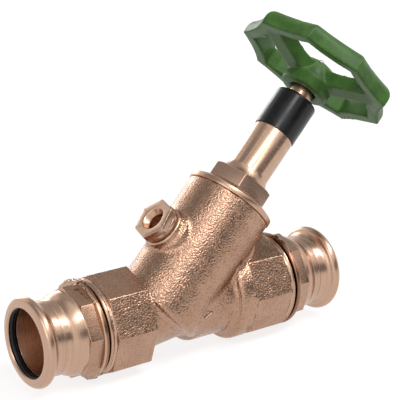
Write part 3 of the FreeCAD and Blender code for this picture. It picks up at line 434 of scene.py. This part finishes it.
def bronze(name, groups, cast_mask, branch=False, pebble=0.72, relief=0.25):
    """Bronze that is cast where cast_mask says and turned elsewhere.

    cast_mask takes the Tree, the station and radius on the piece's own axis, and the place. It
    gives a node's output or a number.
    """
    colours = bpy.context.scene.valve_colours
    item, draw, shader, place = material(name, 0.3, 1.0)
    own = turned_to_branch(draw, place) if branch else place
    axis = draw.group(groups["axis"], {"Place": own}).outputs
    cast = cast_mask(draw, axis["Station"], axis["Radius"], place)
    skin = draw.group(groups["pebble"], {"Place": place, "Size": pebble}).outputs
    rings = draw.group(groups["lathe"], {"Station": axis["Station"],
                                         "Radius": axis["Radius"]}).outputs
    blotch = draw.noise(place, 9.0, 3.0, 0.55)
    tone = draw.mix(draw.ramp(blotch, 0.3, 0.7, 0.0, 0.2), tuple(colours.cast),
                    tuple(colours.deep))
    # Painted shade: darker in the skin's pits
    tone = draw.mix(draw.sum("MULTIPLY", skin["Pits"], 0.4), tone, tuple(colours.deep))
    bright = draw.mix(draw.ramp(rings["Streak"], 0.35, 0.65, 0.0, 0.08),
                      tuple(colours.turned), tuple(colours.deep))
    tone = draw.mix(cast, bright, tone)
    if not branch:
        # Painted shade on the collar next to the body
        tone = draw.mix(joint_shade(draw, axis["Station"]), tone, tuple(colours.deep))
    draw.put(tone, shader.inputs["Base Color"])
    smooth = draw.ramp(rings["Streak"], 0.3, 0.7, 0.25, 0.30)
    rough = draw.ramp(draw.noise(place, 3.0, 3.0), 0.3, 0.7, 0.21, 0.29)
    turned = draw.sum("SUBTRACT", 1.0, cast)
    mixed = draw.sum("ADD", draw.sum("MULTIPLY", smooth, turned),
                     draw.sum("MULTIPLY", rough, cast))
    draw.put(mixed, shader.inputs["Roughness"])
    lathe = bump(draw, rings["Height"], 0.0008, turned)
    draw.put(bump(draw, skin["Height"], relief, cast, lathe), shader.inputs["Normal"])
    return item


def nowhere_cast(draw, station, radius, place):
    return 0.0


def body_is_cast(draw, station, radius, place):
    """Cast skin all over but for the turned end bands, the barrel's top and the boss face."""
    ends = draw.ramp(from_end_face(draw, station), (-END_BAND - 0.05) * MM, (-END_BAND + 0.1) * MM,
                     1.0, 0.0)
    branch = draw.add("SeparateXYZ", {0: turned_to_branch(draw, place)}).outputs
    band = BARREL_TOP - TOP_BAND
    top = draw.ramp(branch["X"], (band - 0.15) * MM, (band + 0.15) * MM, 1.0, 0.0)
    beside = draw.sum("ADD",
                      draw.sum("POWER", draw.sum("SUBTRACT", branch["X"], BOSS_STATION * MM), 2.0),
                      draw.sum("POWER", branch["Y"], 2.0))
    over_boss = draw.ramp(beside, (BOSS_FOOT_RADIUS * MM) ** 2,
                          ((BOSS_FOOT_RADIUS + 0.5) * MM) ** 2, 1.0, 0.0)
    face = draw.ramp(branch["Z"], (BOSS_FACE - 0.7) * MM, (BOSS_FACE - 0.5) * MM)
    boss = draw.sum("SUBTRACT", 1.0, draw.sum("MULTIPLY", over_boss, face))
    return draw.sum("MULTIPLY", draw.sum("MULTIPLY", ends, top), boss)


def adapter_is_cast(draw, station, radius, place):
    """Cast skin on the adapter's octagon only."""
    beyond = from_end_face(draw, station)
    low, high = ADAPTER_OCTAGON
    start = draw.ramp(beyond, (low - 0.1) * MM, (low + 0.1) * MM)
    end = draw.ramp(beyond, (high - 0.1) * MM, (high + 0.1) * MM, 1.0, 0.0)
    outside = draw.ramp(radius, ADAPTER_SKIN_RADIUS[0] * MM, ADAPTER_SKIN_RADIUS[1] * MM)
    return draw.sum("MULTIPLY", draw.sum("MULTIPLY", start, end), outside)


def moulded(name, groups, colour, roughness, fleck, grain, gloss=0.35):
    """Moulded plastic or rubber with a fine grain, slow colour changes, paler edges that are partly
    rubbed wear and partly painted highlight, and painted shade in hollows.
    """
    item, draw, shader, place = material(name, roughness)
    shader.inputs["Specular IOR Level"].default_value = gloss
    wear_sheen_and_shade = draw.group(groups["wear_sheen_and_shade"], {"Place": place}).outputs
    cloud = draw.noise(place, 7.0, 4.0, 0.6)
    dark = tuple(part * 0.62 for part in colour)
    pale = tuple(min(1.0, part * 1.35 + fleck) for part in colour)
    tone = draw.mix(draw.ramp(cloud, 0.3, 0.7), dark, tuple(colour))
    dust = draw.noise(place, 0.6, 2.0, 0.7)
    tone = draw.mix(draw.ramp(dust, 0.5, 0.75, 0.0, 0.45), tone, pale)
    # Paler sharp edges: partly rubbed wear, partly painted highlight
    tone = draw.mix(draw.sum("MULTIPLY", wear_sheen_and_shade["Edge"], 0.8), tone, pale)
    # Painted shade: darker in the hollows
    tone = draw.mix(draw.sum("MULTIPLY", wear_sheen_and_shade["Hollow"], 0.6), tone, dark)
    draw.put(tone, shader.inputs["Base Color"])
    draw.put(draw.ramp(cloud, 0.25, 0.75, roughness - 0.06, roughness + 0.1),
             shader.inputs["Roughness"])
    fine = draw.noise(place, 0.35, 2.0, 0.6)
    draw.put(bump(draw, fine, grain), shader.inputs["Normal"])
    return item


def steel(name, groups, colour):
    item, draw, shader, place = material(name, 0.22, 1.0)
    axis = draw.group(groups["axis"], {"Place": turned_to_branch(draw, place)}).outputs
    rings = draw.group(groups["lathe"], {"Station": axis["Station"],
                                         "Radius": axis["Radius"]}).outputs
    tone = draw.mix(draw.ramp(rings["Streak"], 0.3, 0.7), tuple(colour),
                    tuple(part * 0.7 for part in colour))
    draw.put(tone, shader.inputs["Base Color"])
    draw.put(draw.ramp(draw.noise(place, 1.5, 2.0), 0.3, 0.7, 0.16, 0.34),
             shader.inputs["Roughness"])
    draw.put(bump(draw, rings["Height"], 0.003), shader.inputs["Normal"])
    return item


# Operators

class VALVE_OT_finishes(bpy.types.Operator):
    """Make every material and give each CAD node its own"""
    bl_idname = "valve.finishes"
    bl_label = "Finishes"

    def execute(self, context):
        colours = context.scene.valve_colours
        groups = {"axis": axis_group(), "pebble": pebble_group(), "lathe": lathe_group(),
                  "wear_sheen_and_shade": wear_sheen_and_shade_group()}
        made = {
            "cast_bronze": bronze("cast_bronze_skin", groups, body_is_cast),
            "adapter": bronze("bronze_adapter", groups, adapter_is_cast, pebble=0.6,
                              relief=0.05),
            "turned_bronze": bronze("turned_bronze", groups, nowhere_cast, branch=True),
            "green_wheel": moulded("green_wheel", groups, colours.wheel, 0.40, 0.035, 0.02,
                                   0.25),
            "black_sleeve": moulded("black_sleeve", groups, colours.sleeve, 0.24, 0.004, 0.003),
            "seal_rubber": moulded("seal_rubber", groups, colours.rubber, 0.4, 0.006, 0.006),
            "thread_seal": moulded("thread_seal", groups, colours.fibre, 0.5, 0.02, 0.01),
            "steel": steel("washer_steel", groups, colours.steel),
        }
        for part in frame["record"]["subparts"]:
            finish = "adapter" if part["node"].endswith("_adapter") else part["material_slot"]
            materials = frame["nodes"][part["node"]].data.materials
            materials.clear()
            materials.append(made[finish])
        return {"FINISHED"}


def wears(piece, node):
    """Gives a piece the finish of the CAD node that it stands for."""
    piece.data.materials.append(frame["nodes"][node].data.materials[0])


def near_joins(spots):
    """How far each spot is from the barrel, and from the run with its octagons."""
    along, away, across = off_branch(spots)
    barrel = np.maximum.reduce([away - BARREL_RADIUS, along - BARREL_TOP, BARREL_FOOT - along])
    out = np.hypot(spots[:, 1], spots[:, 2])
    stations, radii = zip(*NECKS)
    run = np.where((spots[:, 0] > stations[0]) & (spots[:, 0] < stations[-1]),
                   np.abs(out - np.interp(spots[:, 0], stations, radii)), 99)
    for start, end in OCTAGONS:
        run = np.minimum(run, np.abs(octagon_gap(spots, start, end)))
    return barrel, run


def sink_barrel(body):
    """Moves the barrel's skin in below its top, so that the fillets' piece shows there."""
    along, away, across = off_branch(places(body))
    low = (np.abs(away - BARREL_RADIUS) < 0.05) & (along < BARREL_TOP - BARE_TOP + 0.5)
    for index in np.flatnonzero(low):
        spot = body.data.vertices[index].co - CROSSING
        out = spot - UP_BRANCH * spot.dot(UP_BRANCH)
        body.data.vertices[index].co -= out * (SINK * MM / out.length)


class VALVE_OT_cast_body(bpy.types.Operator):
    """Cast body with crisp octagons, and fillets where the branch and the boss meet the rest"""
    bl_idname = "valve.cast_body"
    bl_label = "Cast body"

    def execute(self, context):
        shapes = context.scene.valve_shapes
        body = copy_of("valve_body", "cast_body")
        bpy.ops.object.mode_set(mode="EDIT")
        bpy.ops.mesh.select_all(action="SELECT")
        bpy.ops.mesh.dissolve_limited(angle_limit=math.radians(FLAT_ANGLE))
        bpy.ops.mesh.select_all(action="SELECT")
        cut = CROSSING + UP_BRANCH * (BARREL_TOP - BARE_TOP) * MM
        bpy.ops.mesh.bisect(plane_co=cut, plane_no=UP_BRANCH)
        bpy.ops.object.mode_set(mode="OBJECT")
        select_sharp(body, BODY_CREASE)
        spots = places(body)
        barrel = near_joins(spots)[0]
        plain = (barrel > JOIN_CLEAR) & (np.hypot(spots[:, 1], spots[:, 2]) > RUN_OUTSIDE)
        bevel_selected(body, plain, shapes.edge_round * 2, 2, clamp=False)
        sink_barrel(body)
        shade(body, 30)
        apply_modifier(body, "WEIGHTED_NORMAL", mode="FACE_AREA", weight=60, keep_sharp=True)
        wears(body, "valve_body")

        piece = copy_of("valve_body", "cast_fillets")
        apply_modifier(piece, "REMESH", mode="VOXEL", voxel_size=shapes.cast_grain)
        if not piece.data.polygons:
            raise RuntimeError("the casting has no faces")
        select_only(piece)
        bpy.ops.object.mode_set(mode="EDIT")
        bpy.ops.mesh.select_all(action="SELECT")
        bpy.ops.transform.shrink_fatten(value=-FILLET_INSET * MM)
        bpy.ops.object.mode_set(mode="OBJECT")
        spots = places(piece)
        smooth_where(piece, np.ones(len(spots), bool), 2)
        reach = shapes.cast_fillet / MM
        along, away, across = off_branch(spots)
        barrel, run = near_joins(spots)
        outside = np.hypot(spots[:, 1], spots[:, 2]) > BORE_CLEAR
        for share, repeat in FILLET_PASSES:
            band = reach * share
            smooth_where(piece, (np.abs(barrel) < band) & (run < band) & outside, repeat)
        from_boss = np.hypot(along - BOSS_STATION, spots[:, 1]) - BOSS_FOOT_RADIUS
        high = (across > 12) & (across < BOSS_FOOT_REACH - 0.8)
        smooth_where(piece, (np.abs(from_boss - 0.3) < 1.0) & high, 4)
        shade(piece, 60)
        wears(piece, "valve_body")
        for item in (body, piece):
            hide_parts("valve_body")
            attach(item, "valve")
        return {"FINISHED"}


class VALVE_OT_press_adapters(bpy.types.Operator):
    """Press adapters with rounded machined edges"""
    bl_idname = "valve.press_adapters"
    bl_label = "Press adapters"

    def execute(self, context):
        for side in ("inlet", "outlet"):
            piece = with_round_edges(f"{side}_adapter", f"{side}_press_adapter", "valve")
            wears(piece, f"{side}_adapter")
        return {"FINISHED"}


class VALVE_OT_screwed_parts(bpy.types.Operator):
    """Bonnet and drain plug with rounded machined edges"""
    bl_idname = "valve.screwed_parts"
    bl_label = "Bonnet and plug"

    def execute(self, context):
        for node, name in (("bonnet", "turned_bonnet"), ("drain_plug", "hexagon_plug")):
            wears(with_round_edges(node, name, "valve"), node)
        return {"FINISHED"}


def slim_webs(spots):
    """Draws the webs in towards their spokes, so that they run out before the hub."""
    lift = np.array((1, 0, 1)) * math.sqrt(0.5)
    side = np.array((-1, 0, 1)) * math.sqrt(0.5)
    along = spots @ lift
    for spoke in range(3):
        turn = math.radians(WHEEL_TURN + 120 * spoke)
        out = side * math.cos(turn) + np.array((0, 1, 0)) * math.sin(turn)
        beside = np.cross(lift, out)
        reach, aside = spots @ out, spots @ beside
        wide = np.abs(aside) - SPOKE_HALF
        web = (reach > WEB_START) & (wide > 0) & (np.abs(aside) < WEB_REACH) & (along > WEB_FOOT)
        amount = np.where(web, np.clip((WEB_END - reach) / 6, 0, 1) * 0.88, 0)
        shift = np.sign(aside) * wide * amount
        spots = spots - shift[:, None] * beside
    return spots


def spoke_drop(spots):
    """How much lower the tops of the spokes lie between the hub and the rim."""
    along, away, across = off_branch(spots)
    between = np.clip((away - 8) / 2, 0, 1) * np.clip((30 - away) / 12, 0, 1)
    return (np.clip(along - SPOKE_TOP, 0, None) * 0.3 * between)[:, None] * np.array(UP_BRANCH)


class VALVE_OT_handwheel(bpy.types.Operator):
    """Moulded handwheel with soft edges, and its screw with a taller, rounded head"""
    bl_idname = "valve.handwheel"
    bl_label = "Handwheel"

    def execute(self, context):
        shapes = context.scene.valve_shapes
        piece = copy_of("handwheel", "moulded_wheel")
        apply_modifier(piece, "REMESH", mode="VOXEL", voxel_size=shapes.wheel_grain)
        if not piece.data.polygons:
            raise RuntimeError("the handwheel has no faces")
        smooth_where(piece, np.ones(len(piece.data.vertices), bool), shapes.wheel_softness)
        spots = places(piece)
        move_to(piece, slim_webs(spots) - spoke_drop(spots))
        shade(piece, 60)
        wears(piece, "handwheel")
        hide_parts("handwheel")
        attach(piece, "turning_parts")

        screw = copy_of("handwheel_screw", "domed_screw")
        clean_faces(screw)
        select_sharp(screw, SCREW_CREASE)
        spots = places(screw)
        along, away, across = off_branch(spots)
        taller = np.where(along > SCREW_HEAD + 0.1, (along - SCREW_HEAD) * 0.5, 0)
        move_to(screw, spots + taller[:, None] * np.array(UP_BRANCH))
        rim = (along > SCREW_RIM) & (away > SCREW_RADIUS)
        bevel_selected(screw, rim, SCREW_ROUND * MM, 6, clamp=True)
        shade(screw, 40)
        wears(screw, "handwheel_screw")
        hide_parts("handwheel_screw")
        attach(screw, "turning_parts")
        return {"FINISHED"}


def facing_middle(place):
    return (MIDDLE - Vector(place)).to_track_quat("-Z", "Y").to_euler()


def lamp(name, size, energy, place):
    data = bpy.data.lights.new(name, "AREA")
    data.shape = "RECTANGLE"
    data.size, data.size_y = size
    data.energy = energy
    item = bpy.data.objects.new(name, data)
    bpy.context.scene.collection.objects.link(item)
    item.location = place
    item.rotation_euler = facing_middle(place)


def flag(name, size, place, glow):
    """A grey card that only shows in the metal's gloss."""
    bpy.ops.object.select_all(action="DESELECT")
    bpy.ops.mesh.primitive_plane_add(size=1)
    card = bpy.context.object
    card.name = name
    card.scale = (*size, 1)
    card.rotation_euler = facing_middle(place)
    card.location = place
    bpy.ops.object.transform_apply(location=True, rotation=True, scale=True)
    card.visible_camera = card.visible_diffuse = False
    card.visible_shadow = card.visible_transmission = False
    item, draw, shader, spot = material(name + "_cloth", 0.9)
    weave = draw.noise(spot, 40.0)
    draw.put(draw.mix(weave, (0.02,) * 3, (0.04,) * 3), shader.inputs["Base Color"])
    shader.inputs["Emission Color"].default_value = WHITE
    shader.inputs["Emission Strength"].default_value = glow
    card.data.materials.append(item)


def seen_directly(draw):
    """1 for rays from the camera, off gloss and through glass, else 0."""
    rays = draw.add("LightPath").outputs
    either = draw.sum("ADD", rays["Is Camera Ray"], rays["Is Glossy Ray"], clamp=True)
    return draw.sum("ADD", either, rays["Is Transmission Ray"], clamp=True)


class VALVE_OT_studio(bpy.types.Operator):
    """Camera, lamps, pale floor and white surroundings"""
    bl_idname = "valve.studio"
    bl_label = "Studio"

    def execute(self, context):
        scene = context.scene
        studio = scene.valve_studio
        scene.view_settings.view_transform = "Standard"
        data = bpy.data.cameras.new("camera")
        data.sensor_width = SENSOR_WIDTH
        data.lens = studio.focal_length
        data.clip_start = 0.01
        camera = bpy.data.objects.new("camera", data)
        scene.collection.objects.link(camera)
        turn = Matrix((CAMERA_RIGHT, -CAMERA_DOWN, -CAMERA_FORWARD)).transposed().to_4x4()
        camera.matrix_world = Matrix.Translation(CAMERA_PLACE) @ turn
        scene.camera = camera

        for name, size, place in LAMPS:
            lamp(name, size, getattr(studio, name), place)
        for card in CARDS:
            flag(*card)

        world = bpy.data.worlds.new("studio")
        world.use_nodes = True
        scene.world = world
        draw = Tree(world.node_tree)
        background = world.node_tree.nodes["Background"]
        background.inputs["Color"].default_value = WHITE
        level = draw.add("MapRange", {"Value": seen_directly(draw), "To Min": studio.room,
                                      "To Max": 1.0})
        draw.put(level.outputs[0], background.inputs["Strength"])

        bpy.ops.object.select_all(action="DESELECT")
        bpy.ops.mesh.primitive_plane_add(size=4, location=FLOOR_PLACE)
        floor = context.object
        floor.name = "floor"
        item = bpy.data.materials.new("white_floor")
        item.use_nodes = True
        draw = Tree(item.node_tree)
        shader = item.node_tree.nodes["Principled BSDF"]
        spot = draw.add("TexCoord").outputs["Object"]
        cloth = draw.noise(spot, 400.0)
        draw.put(draw.mix(cloth, (0.26,) * 3, (0.29,) * 3), shader.inputs["Base Color"])
        shader.inputs["Roughness"].default_value = 0.9
        shader.inputs["Emission Color"].default_value = WHITE
        far = draw.add("VectorMath", {0: spot, 1: FLOOR_PLACE}, operation="DISTANCE")
        glow = draw.ramp(far.outputs["Value"], *FLOOR_FADE)
        draw.put(draw.sum("MULTIPLY", seen_directly(draw), glow),
                 shader.inputs["Emission Strength"])
        floor.data.materials.append(item)
        return {"FINISHED"}


class VALVE_PT_panel(bpy.types.Panel):
    """Builds the valve's looks"""
    bl_label = "Valve"
    bl_idname = "VALVE_PT_panel"
    bl_space_type = "VIEW_3D"
    bl_region_type = "UI"
    bl_category = "Valve"

    def draw(self, context):
        for name in ("valve_shapes", "valve_colours", "valve_studio"):
            group = getattr(context.scene, name)
            box = self.layout.box()
            for key in group.bl_rna.properties.keys():
                if key not in ("rna_type", "name"):
                    box.prop(group, key)
        for operator in OPERATORS:
            self.layout.operator(operator.bl_idname)


GROUPS = {"valve_shapes": ValveShapes, "valve_colours": ValveColours, "valve_studio": ValveStudio}
OPERATORS = (VALVE_OT_finishes, VALVE_OT_cast_body, VALVE_OT_press_adapters, VALVE_OT_screwed_parts,
             VALVE_OT_handwheel, VALVE_OT_studio)


def register():
    for item in (*GROUPS.values(), *OPERATORS, VALVE_PT_panel):
        bpy.utils.register_class(item)
    for name, group in GROUPS.items():
        setattr(bpy.types.Scene, name, PointerProperty(type=group))


def unregister():
    for name in GROUPS:
        delattr(bpy.types.Scene, name)
    for item in (VALVE_PT_panel, *reversed(OPERATORS), *GROUPS.values()):
        bpy.utils.unregister_class(item)


def main():
    register()
    for operator in OPERATORS:
        family, action = operator.bl_idname.split(".")
        getattr(getattr(bpy.ops, family), action)()


if __name__ == "__main__":
    main()
